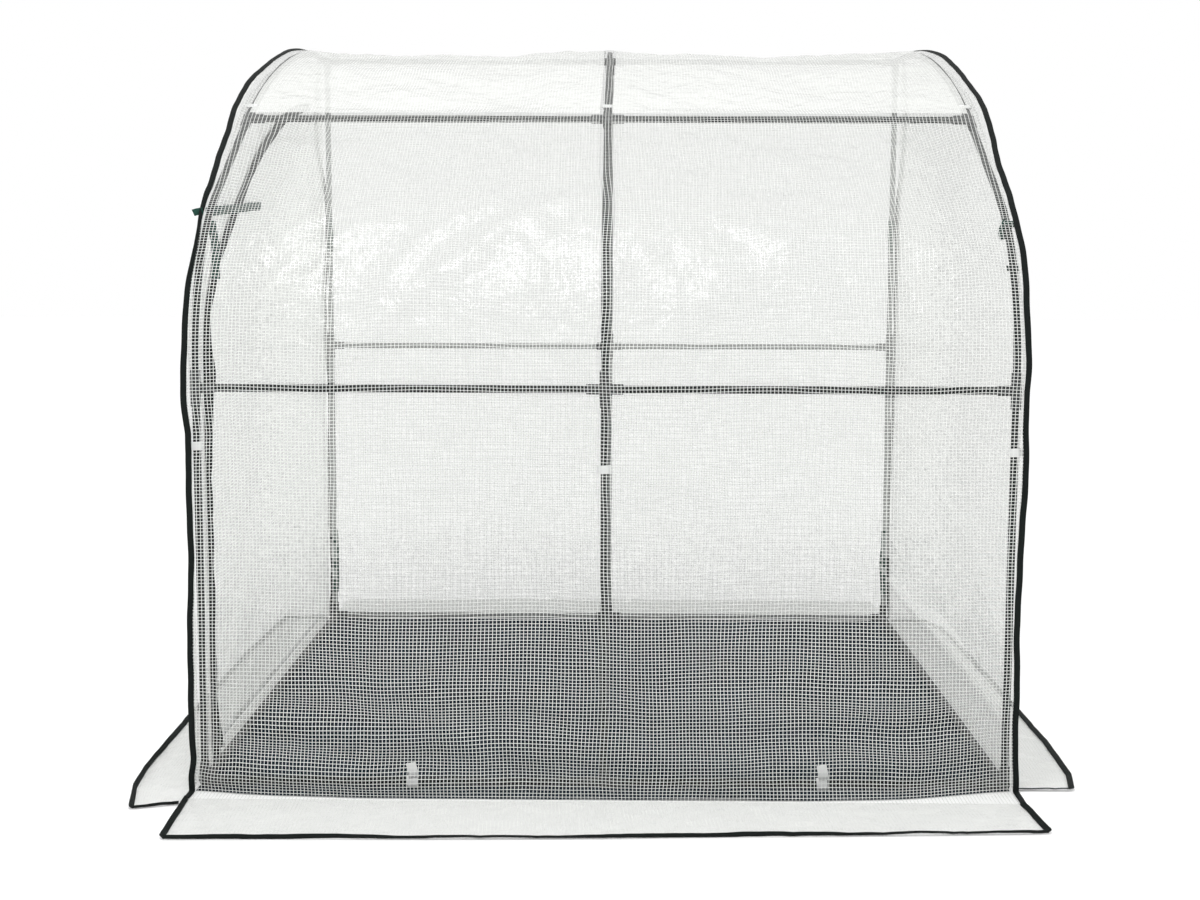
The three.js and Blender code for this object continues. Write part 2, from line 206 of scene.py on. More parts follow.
eave = (BACK + OUT - EAVE_RADIUS, TOP + OUT - EAVE_RADIUS)
corner_turn = np.linspace(0, math.pi / 2, 8)
cover_path = Path(
    [(FRONT - FLARE, LIFT), *rib_line(OUT)[:-1]]
    + [(eave[0] + EAVE_RADIUS * math.sin(t), eave[1] + EAVE_RADIUS * math.cos(t)) for t in corner_turn]
    + [(BACK + OUT, LIFT)]
)
S_MID = cover_path.nearest(FRONT - OUT, MID)
S_UPPER = cover_path.nearest(*on_arc(upper, OUT, BOW_TURN))
S_TOP = cover_path.nearest(BACK + OUT, TOP + OUT)
S_BACK_MID = cover_path.nearest(BACK + OUT, MID)

# Materials ----------------------------------------------------------------------------------------


class Nodes:
    """A material with a Principled shader, and helpers that add nodes to it."""

    def __init__(self, name, colour, roughness, **sockets):
        self.material = bpy.data.materials.new(name)
        self.material.use_nodes = True
        self.tree = self.material.node_tree
        self.shader = self.tree.nodes["Principled BSDF"]
        self.shader.inputs["Base Color"].default_value = (*colour, 1)
        self.shader.inputs["Roughness"].default_value = roughness
        for socket, value in sockets.items():
            self.shader.inputs[socket.replace("_", " ")].default_value = value

    def add(self, kind, **settings):
        node = self.tree.nodes.new("ShaderNode" + kind)
        for key, value in settings.items():
            if key in node.inputs:
                node.inputs[key].default_value = value
            else:
                setattr(node, key, value)
        return node

    def wire(self, source, target):
        self.tree.links.new(source, target)

    def coordinates(self, cloth):
        if cloth:
            return self.add("UVMap", uv_map="Cloth").outputs["UV"]
        return self.add("TexCoord").outputs["Object"]

    def noise(self, scale, detail=3.0, cloth=False):
        texture = self.add("TexNoise", Scale=scale, Detail=detail)
        self.wire(self.coordinates(cloth), texture.inputs["Vector"])
        return texture.outputs["Fac"]

    def waves(self, width, direction):
        """Rounded ridges a given width apart, along X or Y."""
        texture = self.add("TexWave", wave_type="BANDS", bands_direction=direction, wave_profile="SIN")
        texture.inputs["Scale"].default_value = 0.314 / width
        self.wire(self.coordinates(cloth=True), texture.inputs["Vector"])
        return texture.outputs["Fac"]

    def math(self, operation, a, b):
        node = self.add("Math", operation=operation)
        for socket, value in zip(node.inputs, (a, b)):
            if isinstance(value, float):
                socket.default_value = value
            else:
                self.wire(value, socket)
        return node.outputs[0]

    def colours(self, source, *stops):
        """Colours the surface by a value, from (position, colour) stops."""
        ramp = self.add("ValToRGB")
        points = ramp.color_ramp.elements
        while len(points) < len(stops):
            points.new(0.5)
        for point, (position, colour) in zip(points, stops):
            point.position, point.color = position, (*colour, 1)
        self.wire(source, ramp.inputs["Fac"])
        self.wire(ramp.outputs["Color"], self.shader.inputs["Base Color"])

    def roughen(self, source, low, high):
        spread = self.add("MapRange")
        for socket, value in zip(("From Min", "From Max", "To Min", "To Max"), (0.3, 0.7, low, high)):
            spread.inputs[socket].default_value = value
        self.wire(source, spread.inputs["Value"])
        self.wire(spread.outputs["Result"], self.shader.inputs["Roughness"])

    def bump(self, source, height):
        bump = self.add("Bump", Distance=height)
        self.wire(source, bump.inputs["Height"])
        self.wire(bump.outputs["Normal"], self.shader.inputs["Normal"])


def crinkle(made, smoothest, roughest):
    """The uneven gloss and the fine crinkles that the film has over its gaps and threads alike."""
    made.roughen(made.noise(9, cloth=True), smoothest, roughest)
    made.bump(made.noise(38, cloth=True), 0.006)


def film_material(name, colour, alpha, index):
    """The film between the threads. Its reflection is only seen through alpha, so its index is high."""
    made = Nodes(name, colour, 0.2, Alpha=alpha, IOR=index)
    crinkle(made, 0.08, 0.24)
    return made.material


def thread_material(name, dark, light, through_colour):
    """A woven thread, which lets some of the light behind it through."""
    made = Nodes(name, light, 0.32, IOR=1.5)
    made.colours(made.noise(40, cloth=True), (0.3, dark), (0.7, light))
    crinkle(made, 0.16, 0.34)
    output = made.tree.nodes["Material Output"]
    through = made.add("BsdfTranslucent")
    through.inputs["Color"].default_value = (*through_colour, 1)
    mix = made.add("MixShader")
    mix.inputs["Fac"].default_value = 0.3
    made.wire(made.shader.outputs["BSDF"], mix.inputs[1])
    made.wire(through.outputs["BSDF"], mix.inputs[2])
    made.wire(mix.outputs["Shader"], output.inputs["Surface"])
    return made.material


def ground_material():
    made = Nodes("woven_ground", (0.017, 0.027, 0.036), 0.8)
    made.shader.inputs["Specular IOR Level"].default_value = 0.02
    weave = made.math("MULTIPLY", made.waves(0.0025, "X"), made.waves(0.0025, "Y"))
    shade = made.math("ADD", made.math("MULTIPLY", weave, 0.35), made.noise(3.5, 5, cloth=True))
    worn, plain, deep = (0.018, 0.034, 0.047), (0.007, 0.016, 0.025), (0.003, 0.008, 0.013)
    made.colours(shade, (0.35, deep), (0.6, plain), (0.95, worn))
    made.bump(weave, 0.0005)
    return made.material


def weave_material(name, dark, light, roughness):
    """A woven tape or ribbon."""
    made = Nodes(name, dark, roughness)
    made.shader.inputs["Specular IOR Level"].default_value = 0.15
    weave = made.math("MULTIPLY", made.waves(0.0012, "X"), made.waves(0.0012, "Y"))
    patches = made.math("MULTIPLY", made.noise(60, cloth=True), 0.6)
    shade = made.math("ADD", made.math("MULTIPLY", weave, 0.5), patches)
    made.colours(shade, (0.2, dark), (0.8, light))
    made.bump(weave, 0.0003)
    return made.material


def paint_material(name, dark, light):
    made = Nodes(name, dark, 0.42, IOR=1.5)
    made.shader.inputs["Specular IOR Level"].default_value = 0.14
    made.colours(made.noise(220, 2), (0.3, dark), (0.75, light))
    made.roughen(made.noise(30), 0.34, 0.5)
    made.bump(made.noise(900, 2), 0.0002)
    return made.material


def plastic_material(name, colour, roughness):
    made = Nodes(name, colour, roughness, IOR=1.46)
    light = tuple(1.6 * c for c in colour)
    made.colours(made.noise(70, 4), (0.3, colour), (0.8, light))
    made.roughen(made.noise(45), roughness - 0.06, roughness + 0.08)
    made.bump(made.noise(1100, 2), 0.00015)
    return made.material


def strap_material():
    made = Nodes("white_strap", (0.82, 0.83, 0.82), 0.7)
    made.shader.inputs["Specular IOR Level"].default_value = 0.3
    nap = made.noise(900, 3, cloth=True)
    made.colours(nap, (0.3, (0.74, 0.75, 0.745)), (0.75, (0.88, 0.885, 0.88)))
    made.bump(nap, 0.0004)
    return made.material


# The film looks clear where it touches a tube or is near what is behind it, and hazy elsewhere.
films = [
    film_material("clear_film", (0.02, 0.022, 0.02), 0.10, 1.9),
    film_material("hazy_film", (0.51, 0.52, 0.50), 0.32, 1.7),
    # On the end walls and the door the film is painted whiter and less clear: a painted reflection of the
    # bright studio, which the film shows where it is seen edge-on.
    film_material("film_painted_reflection", (0.93, 0.94, 0.915), 0.65, 1.5),
    film_material("skirt_film", (0.36, 0.37, 0.35), 0.30, 1.5),
    film_material("roof_film", (0.71, 0.72, 0.695), 0.78, 1.5),
]
CLEAR, HAZY, PAINTED_REFLECTION, SKIRT, ROOF = range(5)
thread = thread_material("white_thread", (0.72, 0.735, 0.715), (0.81, 0.82, 0.795), (0.80, 0.81, 0.785))
# Brighter threads for the end walls and the door: painted light that makes them as white as that painted
# reflection.
thread_painted_lighter = thread_material("thread_painted_lighter", (0.87, 0.88, 0.86), (0.93, 0.935, 0.915), (0.95, 0.955, 0.93))
ground_weave = ground_material()
binding = weave_material("binding_tape", (0.0015, 0.0028, 0.0024), (0.006, 0.010, 0.009), 0.7)
ribbon_weave = weave_material("tie_ribbon", (0.006, 0.036, 0.026), (0.014, 0.066, 0.048), 0.55)
zip_tape = weave_material("zip_tape", (0.006, 0.008, 0.008), (0.018, 0.021, 0.021), 0.65)
strap_nap = strap_material()
paint = paint_material("tube_paint", (0.004, 0.006, 0.0055), (0.010, 0.014, 0.0125))
# A paler copy of the tube paint for the tubes at the back: painted light for the film's haze over them.
paint_with_painted_haze_light = paint_material("paint_with_painted_haze_light", (0.17, 0.18, 0.175), (0.22, 0.23, 0.225))
connector_plastic = plastic_material("connector_plastic", (0.010, 0.012, 0.0125), 0.5)
zip_plastic = plastic_material("zip_plastic", (0.008, 0.009, 0.009), 0.36)

# Camera and light ---------------------------------------------------------------------------------

CAMERA_PLACE = (0.036, -5.066, 1.325)
CAMERA_LENS, SENSOR_WIDTH = 50.5, 36
WHITE = (1.0, 1.0, 1.0)


def make_camera():
    pitch, yaw, roll = 0.1153, -0.01156, 0.0029
    forward = Vector((math.sin(yaw) * math.cos(pitch), math.cos(yaw) * math.cos(pitch), -math.sin(pitch)))
    level = Vector((math.cos(yaw), -math.sin(yaw), 0))
    right = level * math.cos(roll) + level.cross(forward) * math.sin(roll)
    up = right.cross(forward)
    data = bpy.data.cameras.new("camera")
    data.sensor_width, data.lens = SENSOR_WIDTH, CAMERA_LENS
    camera = link(bpy.data.objects.new("camera", data))
    axes = Matrix((right, up, -forward)).transposed().to_4x4()
    camera.matrix_world = Matrix.Translation(CAMERA_PLACE) @ axes
    bpy.context.scene.camera = camera


def area_light(name, place, target, size, power):
    data = bpy.data.lights.new(name, "AREA")
    data.shape, data.size, data.size_y, data.energy = "RECTANGLE", *size, power
    light = link(bpy.data.objects.new(name, data))
    light.location = place
    light.rotation_euler = (Vector(target) - Vector(place)).to_track_quat("-Z", "Y").to_euler()


def make_studio():
    world = bpy.data.worlds.new("studio")
    bpy.context.scene.world = world
    world.use_nodes = True
    background = world.node_tree.nodes["Background"]
    background.inputs["Color"].default_value = (*WHITE, 1)
    background.inputs["Strength"].default_value = 1.0
    bpy.context.scene.view_settings.view_transform = "Standard"
    area_light("key", (-0.55, -2.6, 4.4), (-0.3, -0.7, 1.4), (0.8, 2.2), 62)
    area_light("fill", (4.0, -3.2, 2.4), (-0.8, 0, 1.0), (1.6, 2.2), 46)
    area_light("fill_left", (-4.0, -3.2, 2.4), (0.8, 0, 1.0), (1.6, 2.2), 32)
    floor = Nodes("studio_floor", (0.94, 0.94, 0.94), 0.9)
    floor.shader.inputs["Emission Color"].default_value = (*WHITE, 1)
    floor.shader.inputs["Emission Strength"].default_value = 0.1
    floor.shader.inputs["Specular IOR Level"].default_value = 0.1
    reach, depth = 30, -0.0005
    corners = [(a * reach, b * reach, depth) for a, b in ((-1, -1), (1, -1), (1, 1), (-1, 1))]
    mesh_object("floor", corners, np.array([[0, 1, 2, 3]]), [floor.material])


make_camera()
make_studio()

# Woven panels -------------------------------------------------------------------------------------


def thread_lines(low, high, pitch, cuts=()):
    """The edges of the threads from low to high, and which of the gaps between them are threads."""
    first, last = math.ceil(low / pitch) - 1, math.floor(high / pitch) + 1
    edges = {low, high, *cuts}
    for k in range(first, last + 1):
        for edge in (k * pitch - THREAD / 2, k * pitch + THREAD / 2):
            if low + SLIVER < edge < high - SLIVER and all(abs(edge - c) > SLIVER for c in cuts):
                edges.add(edge)
    edges = np.array(sorted(edges))
    middle = (edges[1:] + edges[:-1]) / 2
    off = np.abs((middle / pitch + 0.5) % 1 - 0.5) * pitch
    return edges, off < THREAD / 2


def grid_faces(columns, rows):
    """The four corners of each face of a grid of points, which runs row by row."""
    corner = (np.arange(rows - 1)[:, None] * columns + np.arange(columns - 1)).ravel()
    return np.stack([corner, corner + 1, corner + columns + 1, corner + columns], 1)


def face_areas(points, faces):
    a, b, c, d = (points[faces[:, k]] for k in range(4))
    return np.linalg.norm(np.cross(c - a, d - b), axis=1) / 2


def points_used(faces):
    """Which points the faces use, and the faces numbered by them."""
    used, numbered = np.unique(faces, return_inverse=True)
    return used, numbered.reshape(-1, 4)


def panel(name, across, up, place, trim=None, cuts=((), ()), flip=False, haze=None, threads=thread):
    """A panel of the cover over cloth coordinates. trim moves the points outside its outline onto it,
    and says which points those are. haze gives the film at each point as a number in films, and a
    fraction is that share of its cells."""
    us, u_thread = thread_lines(*across, PITCH_ACROSS, cuts[0])
    vs, v_thread = thread_lines(*up, PITCH_UP, cuts[1])
    u, v = (a.ravel() for a in np.meshgrid(us, vs))
    outside = np.zeros(len(u), bool)
    if trim:
        u, v, outside = trim(u, v)
    faces = grid_faces(len(us), len(vs))
    is_film = ~(v_thread[:, None] | u_thread[None, :]).ravel()
    points = np.stack(place(u, v), 1)
    kept = ~outside[faces].all(1) & (face_areas(points, faces) > 2e-8)
    used, faces = points_used(faces[kept])
    is_film = is_film[kept]
    if flip:
        faces = faces[:, ::-1]
    uv = np.stack([u, v], 1)[used]
    kind = CLEAR if haze is None else haze(*uv[faces].mean(1).T)
    kind = np.floor(kind + np.random.default_rng(5).uniform(0, 1, len(faces))).astype(int)
    shown = sorted(set(kind[is_film]))
    slots = np.searchsorted(shown, kind)
    materials = [films[k] for k in shown] + [threads]
    return mesh_object(name, points[used], faces, materials, np.where(is_film, slots, len(shown)), uv)


def declare(piece, body, nodes):
    """Hides the solids that a sheet stands in for, and puts it on the body that carries it."""
    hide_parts(*nodes)
    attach(piece, body)
    return piece


# Front, roof and back -----------------------------------------------------------------------------

# The foot of the front wall is bowed: how far it is ahead of the legs, from left to right.
FOOT_X = [-1.02, -0.87, -0.6, 0.0, 0.5, 0.75, 0.882, 1.02]
FOOT_AHEAD = [0.049, 0.084, 0.104, 0.106, 0.106, 0.088, 0.050, 0.012]


def front_fold(x):
    """Where the foot of the front wall meets the ground."""
    fine = np.linspace(-1.05, 1.05, 211)
    soft = np.ones(15) / 15
    ahead = np.interp(fine, FOOT_X, FOOT_AHEAD)
    return FRONT - np.interp(x, fine, np.convolve(np.pad(ahead, 7, "edge"), soft, "valid"))


cover_creases = Creases(7, 0.07, 0.42, 0.055, 14)
cover_waves = Creases(21, 0.35, 0.9, 0.035, 6)
fine_creases = Creases(33, 0.035, 0.11, 0.055, 9)
# The cloth isn't sewn on quite square, so its threads drift sideways and up.
drift_across = Creases(41, 0.16, 0.8, 0.030, 9)
drift_up = Creases(43, 0.13, 0.7, 0.030, 9)


def bump_at(a, centre, reach):
    return np.exp(-(((a - centre) / reach) ** 2))


def edge_pull(side, z):
    """How far the seam of an end is pulled out, and in if it is under 0, at a height."""
    if side < 0:
        pull = 0.020 * bump_at(z, 1.78, 0.20) - 0.015 * bump_at(z, 1.43, 0.14)
        pull -= 0.0085 * smooth((MID - z) / 0.12) * smooth((z - 0.03) / 0.06)
        pull -= 0.003 * bump_at(z, 0.865, 0.03)
    else:
        pull = 0.022 * bump_at(z, 1.78, 0.20) - 0.006 * bump_at(z, 1.42, 0.12)
        pull += 0.004 * bump_at(z, 1.06, 0.08)
        pull -= 0.009 * bump_at(z, 0.55, 0.26) + 0.006 * bump_at(z, 0.16, 0.12)
    return np.maximum(pull, -0.0098)  # as far in as the tubes let it come


def near(a, *values):
    """Distance from a to the nearest of the values."""
    return np.min([np.abs(a - v) for v in values], axis=0)


# Each fold's two ends, as x and how far it is above the middle bar, its height and its width.
BOW_FOLDS = [
    (-0.72, 0.02, -0.04, 0.62, 0.014, 0.040),
    (-0.62, 0.20, -0.20, 0.66, 0.009, 0.030),
    (-0.93, 0.16, -0.55, 0.50, 0.008, 0.030),
    (-0.85, 0.34, -0.62, 0.60, 0.007, 0.026),
    (0.20, 0.30, 0.46, 0.02, 0.008, 0.024),
    (0.62, 0.16, 0.80, 0.02, 0.007, 0.020),
    (0.45, 0.62, 0.90, 0.30, 0.007, 0.030),
]


def bow_folds(x, s):
    """Slanting folds where the film is pulled between the corners of the bow's bays."""
    total = np.zeros_like(x)
    for ax, a, bx, b, height, width in BOW_FOLDS:
        across, up = bx - ax, b - a
        length = np.hypot(across, up)
        along = ((x - ax) * across + (s - S_MID - a) * up) / length
        off = ((s - S_MID - a) * across - (x - ax) * up) / length + 0.012 * np.sin(17 * along)
        ends = smooth(along / 0.12) * smooth((length - along) / 0.12)
        total += height * bump_at(off, 0.0, width) * ends
    return total


def cover_height(x, s):
    """How far the film stands out from the line that it is stretched along."""
    rib = near(x, -1.0, 0.0, 1.0)
    rib = np.where(s < S_MID, rib + 0.6 * (S_MID - s), rib)
    bar = near(s, S_MID, S_UPPER, S_TOP, S_BACK_MID)
    free = smooth(rib / 0.14) * smooth(bar / 0.14)
    span = 4 * (np.abs(x) % 1.0) * (1 - np.abs(x) % 1.0)
    on_roof = smooth((s - S_UPPER) / 0.1) * smooth((S_TOP - s) / 0.1)
    on_bow = smooth((s - S_MID) / 0.1) * smooth((S_UPPER - s) / 0.1)
    sag = -0.020 * span * on_roof - 0.010 * span * on_bow + on_bow * bow_folds(x, s)
    loose = free * (cover_waves(x, s) + cover_creases(x, s)) + (0.25 + 0.75 * free) * fine_creases(x, s)
    held = smooth((EDGE_X - np.abs(x)) / 0.06) * smooth(s / 0.04)
    # Behind the back skirt, when that is folded up, the wall doesn't stand out.
    skirted = smooth((s - cover_path.length + 0.44) / 0.08)
    height = np.minimum(sag + loose * held, 0.05 * (1 - skirted) - 0.0006)
    return np.maximum(height, -0.0015 - 0.5 * free)


def place_cover(x, s):
    h = cover_height(x, s)
    loose = smooth((EDGE_X - np.abs(x)) / 0.12) * smooth(s / 0.06) * smooth((cover_path.length - s) / 0.06)
    low = smooth((0.5 - s) / 0.3) * (0.35 + 0.65 * smooth((np.abs(x) - 0.2) / 0.6))
    folded = 0.0052 * np.sin(2 * math.pi * s / 0.115 + 2.6 * np.sin(2.3 * x + 0.4) + 1.1 * x) * low
    x, s = x + drift_across(x, s) * loose, s + (drift_up(x, s) + folded) * loose
    y, z, out_y, out_z = cover_path(np.maximum(s, 0))
    y, z = y + out_y * h, z + out_z * h
    pull = np.where(x < 0, edge_pull(-1, z), edge_pull(1, z))
    x = x + np.sign(x) * pull * smooth((np.abs(x) - 0.84) / 0.16)
    wall = np.clip(1 - z / MID, 0, 1) ** 1.6 * (s < S_MID)
    ripple = 0.0055 * np.sin(2 * math.pi * z / 0.12 + 3 * np.sin(1.7 * x + 0.6)) * smooth(z / 0.05)
    ripple = ripple * smooth((0.42 - z) / 0.3) * (s < S_MID) * smooth((EDGE_X - np.abs(x)) / 0.2)
    y = y + (front_fold(x) - (FRONT - FLARE)) * wall - ripple
    y = np.where((s > 0) & (s < S_MID), np.maximum(y, FRONT_FOLD + 0.001), y)
    y = y + np.minimum(s, 0)
    z = np.where(s <= 0, LIFT, np.maximum(z, LIFT))
    return x, y, z


def trim_apron(x, s):
    """Ahead of the wall's foot the front panel lies on the ground as far as the skirt's fold."""
    lead = FRONT_FOLD - front_fold(x)
    return x, np.maximum(s, lead), s < lead - 1e-9


def clear_of_tubes(x, s):
    """0 where the film lies on a tube, and 1 away from them."""
    on_bar = near(s, S_MID, S_TOP) < 0.0165
    on_upper = (s > S_UPPER - 0.042) & (s < S_UPPER + 0.0145)
    return (near(x, -0.997, 0.0, 0.997) > 0.0165) & ~on_bar & ~on_upper


def front_haze(x, s):
    return HAZY * smooth((s - 0.48) / 0.22) * smooth((0.88 - np.abs(x)) / 0.1) * clear_of_tubes(x, s)


def roof_haze(x, s):
    return ROOF * clear_of_tubes(x, s)


for side, across in {"left": (-EDGE_X, 0.0), "right": (0.0, EDGE_X)}.items():
    up, cuts = (-APRON, S_MID), ((), (0.0,))
    piece = panel(f"cover_front_{side}", across, up, place_cover, trim_apron, cuts, haze=front_haze)
    declare(piece, "house", ["cover_front"])
    piece = panel(f"cover_bow_{side}", across, (S_MID, S_UPPER), place_cover, haze=front_haze)
    declare(piece, "house", ["cover_roof"])
    piece = panel(f"cover_roof_{side}", across, (S_UPPER, S_TOP), place_cover, haze=roof_haze)
    declare(piece, "house", ["cover_roof"])
    piece = panel(f"cover_back_{side}", across, (S_TOP, cover_path.length), place_cover)
    declare(piece, "house", ["cover_back"])

# End walls and door -------------------------------------------------------------------------------

end_creases = {-1: Creases(51, 0.06, 0.4, 0.05, 14), 1: Creases(52, 0.06, 0.4, 0.05, 14)}
end_waves = {-1: Creases(61, 0.5, 1.1, 0.035, 5), 1: Creases(62, 0.5, 1.1, 0.035, 5)}
frame_line = np.concatenate([[[FRONT, 0.0]], rib_line(0.0), [[BACK, 0.0]]])


def distance_to(line, y, z):
    """Distance from each (y, z) to a line of points."""
    best = np.full(len(y), 1e9)
    for (ay, az), (by, bz) in zip(line[:-1], line[1:]):
        length = max((by - ay) ** 2 + (bz - az) ** 2, 1e-12)
        t = np.clip(((y - ay) * (by - ay) + (z - az) * (bz - az)) / length, 0, 1)
        best = np.minimum(best, (y - ay - t * (by - ay)) ** 2 + (z - az - t * (bz - az)) ** 2)
    return np.sqrt(best)


def inset_line(inset, foot):
    """The line at an inset from the front leg and the bow, from the foot up and back."""
    return np.concatenate([[[FRONT + inset, foot]], rib_line(-inset)])


zip_line = inset_line(ZIP_INSET, 0.03)


def end_height(side, y, z):
    """How far an end wall stands out from its flat place."""
    free = smooth(distance_to(frame_line, y, z) / 0.16) * smooth((z - 0.02) / 0.1)
    h = free * (end_waves[side](y, z) + end_creases[side](y, z)) + 0.3 * fine_creases(y + 3 * side, z)
    if side < 0:
        zipped = distance_to(zip_line, y, z)
        hinged = np.abs(y - HINGE.y)
        h = h * (0.15 + 0.85 * smooth((zipped - 0.012) / 0.09)) * (0.1 + 0.9 * smooth(hinged / 0.08))
    else:
        skirted = smooth((0.26 - z) / 0.05)
        h = np.minimum(h, 0.05 * (1 - skirted) - 0.0006 - 0.017 * free * bump_at(z, 0.165, 0.035))
    h = np.maximum(h, -0.004 - 0.5 * free)
    share = np.where(y < FRONT, 1.0, smooth((0.145 - distance_to(frame_line, y, z)) / 0.13))
    return h + edge_pull(side, z) * share * (y < 0.5)


def place_end(side):
    def place(y, z):
        return side * (END_X + end_height(side, y, z)), y, z

    return place


def side_outline(side):
    """The end wall's outer edge as (y, z), from the ground to the back."""
    s = np.linspace(0, S_TOP, 900)
    x, y, z = place_cover(np.full(len(s), side * EDGE_X), s)
    return np.stack([y, z], 1)


def split_outline(line, y, z):
    """A rising line's steep part gives a y for each z, and the shallow part above it a z for each y."""
    slope = np.gradient(line[:, 1]) / np.maximum(np.gradient(line[:, 0]), 1e-9)
    turn = np.argmax(slope < 1.0)
    steep, shallow = line[: turn + 1], line[turn:]
    order = np.argsort(steep[:, 1])
    front = np.interp(z, steep[order, 1], steep[order, 0])
    return line[turn], front, np.interp(y, shallow[:, 0], shallow[:, 1])


def clamp_outside(line, y, z):
    """Moves the points above and ahead of a rising line onto it."""
    (pivot_y, pivot_z), front, top = split_outline(line, y, z)
    ahead = (z <= pivot_z) & (y < front)
    above = (y >= pivot_y) & (z > top)
    corner = (z > pivot_z) & (y < pivot_y)
    y = np.where(ahead, front, np.where(corner, pivot_y, y))
    z = np.where(above, top, np.where(corner, pivot_z, z))
    return y, z, ahead | above | corner


def clamp_inside(line, y, z, inside):
    """Moves the points that are inside a hole, just below and behind its rising edge, onto that edge."""
    pivot, front, top = split_outline(line, y, z)
    by_front = inside & (z < pivot[1]) & (y - front < 0.03)
    by_top = inside & ~by_front & (top - z < 0.03)
    return np.where(by_front, front, y), np.where(by_top, top, z)


BACK_EDGE = BACK + OUT
doorway_line = inset_line(DOORWAY_INSET, 0.0)
door_line = inset_line(DOOR_INSET, 0.0)


def trim_end(y, z):
    return clamp_outside(side_outline(1), y, z)


def trim_left(y, z):
    new_y, new_z, outside = clamp_outside(side_outline(-1), y, z)
    _, _, beyond = clamp_outside(doorway_line, new_y, new_z)
    on_line = (np.abs(new_y - HINGE.y) < 1e-6) | (np.abs(new_z - DOORWAY_FOOT) < 1e-6)
    hole = ~beyond & (new_y < HINGE.y + 1e-6) & (new_z > DOORWAY_FOOT - 1e-6) & ~outside
    moved_y, moved_z = clamp_inside(doorway_line, new_y, new_z, hole & ~on_line)
    return moved_y, moved_z, outside | hole


def trim_door(y, z):
    return clamp_outside(door_line, y, z)


def area_under(line, low_y, high_y, low_z=0.0):
    """Area between a rising line and a level below it."""
    y = np.linspace(low_y, high_y, 2000)
    order = np.argsort(line[:, 0])
    return float(np.mean(np.interp(y, line[order, 0], line[order, 1]) - low_z) * (high_y - low_y))


# The end walls and the door take the film with the painted reflection, except where it lies on a tube.
def end_painted_reflection(y, z):
    return PAINTED_REFLECTION * (distance_to(frame_line, y, z) > 0.0145)


wall_area = area_under(inset_line(-OUT, 0.0), FRONT - OUT, BACK_EDGE) + 0.03
span_y, span_z = (FRONT - FLARE, BACK_EDGE), (LIFT, TOP + OUT)

# The end walls and the door get the painted reflection: whiter film and brighter threads.
painted_reflection_end = {"haze": end_painted_reflection, "threads": thread_painted_lighter}
piece = panel("end_cover_right", span_y, span_z, place_end(1), trim_end, **painted_reflection_end)
declare(piece, "house", ["end_wall_right"])

cuts = ((HINGE.y,), (DOORWAY_FOOT,))
piece = panel("end_cover_left", span_y, span_z, place_end(-1), trim_left, cuts, flip=True, **painted_reflection_end)
declare(piece, "house", ["end_wall_left"])

span_y, span_z = (FRONT + DOOR_INSET, HINGE.y), (DOOR_FOOT, 1.83)  # up to above the door's top
piece = panel("door_cover", span_y, span_z, place_end(-1), trim_door, flip=True, **painted_reflection_end)
declare(piece, "door", ["door_panel"])

# Skirts and ground sheet --------------------------------------------------------------------------

skirt_creases = Creases(71, 0.05, 0.3, 0.06, 9)


def place_skirt(skirt, runs_back):
    """Where the points of a skirt lie, from its fold to its outer edge. The fold of a skirt that runs
    back beside an end wall is along Y, and the folds of the others are along X."""
    (low, high), width, fold, highest = (skirt[key] for key in ("span", "width", "fold", "highest"))
    outer = np.array(skirt["outer"])
    lengths = np.concatenate([[0], np.cumsum(np.linalg.norm(np.diff(outer, axis=0), axis=1))])
    lengths = lengths / lengths[-1]

    def place(u, v):
        share = v / width
        ax, ay = (fold, u) if runs_back else (u, fold)
        bx, by = (np.interp((u - low) / (high - low), lengths, outer[:, k]) for k in (0, 1))
        x, y = ax + (bx - ax) * share, ay + (by - ay) * share
        raised = 0.6 * np.abs(skirt_creases(u, v + 2.0 * runs_back)) * smooth(share / 0.2)
        return x, y, LIFT + highest * np.tanh(raised / highest)

    return place


# Each skirt runs over its span along its fold. highest is how far its creases rise, and outer is its
# outer edge as (x, y).
skirts = {
    "front": {
        "body": "front_skirt",
        "span": (-1.017, 1.017),
        "width": 0.28,
        "highest": 0.004,
        "fold": FRONT_FOLD,
        "outer": [(-1.002, -1.372), (-0.5, -1.360), (0.0, -1.346), (0.5, -1.322), (1.032, -1.294)],
    },
    "back": {
        "body": "back_skirt",
        "span": (-1.008, 1.008),
        "width": 0.34,
        "highest": 0.0018,
        "fold": BACK_FOLD,
        "outer": [(-1.01, 1.325), (-0.4, 1.338), (0.3, 1.333), (1.008, 1.338)],
    },
    "left": {
        "body": "house",
        "span": (-1.125, 0.975),
        "width": 0.17,
        "highest": 0.009,
        "fold": -SIDE_FOLD,
        "outer": [
            (-1.132, -1.162),
            (-1.166, -1.01),
            (-1.182, -0.86),
            (-1.192, -0.38),
            (-1.196, 0.4),
            (-1.18, 0.972),
        ],
    },
    "right": {
        "body": "right_skirt",
        "span": (-0.975, 0.975),
        "width": 0.17,
        "highest": 0.0018,
        "fold": SIDE_FOLD,
        "outer": [(1.166, -0.977), (1.19, -0.86), (1.203, -0.56), (1.200, 0.3), (1.19, 0.8), (1.15, 0.974)],
    },
}


def skirt_haze(u, v):
    return np.full(len(u), float(SKIRT))


for side, skirt in skirts.items():
    place = place_skirt(skirt, side in ("left", "right"))
    skirt["place"] = place
    span, width, flip = skirt["span"], skirt["width"], side in ("front", "left")
    piece = panel(f"ground_skirt_{side}", span, (0.0, width), place, flip=flip, haze=skirt_haze)
    declare(piece, skirt["body"], [f"skirt_{side}"])


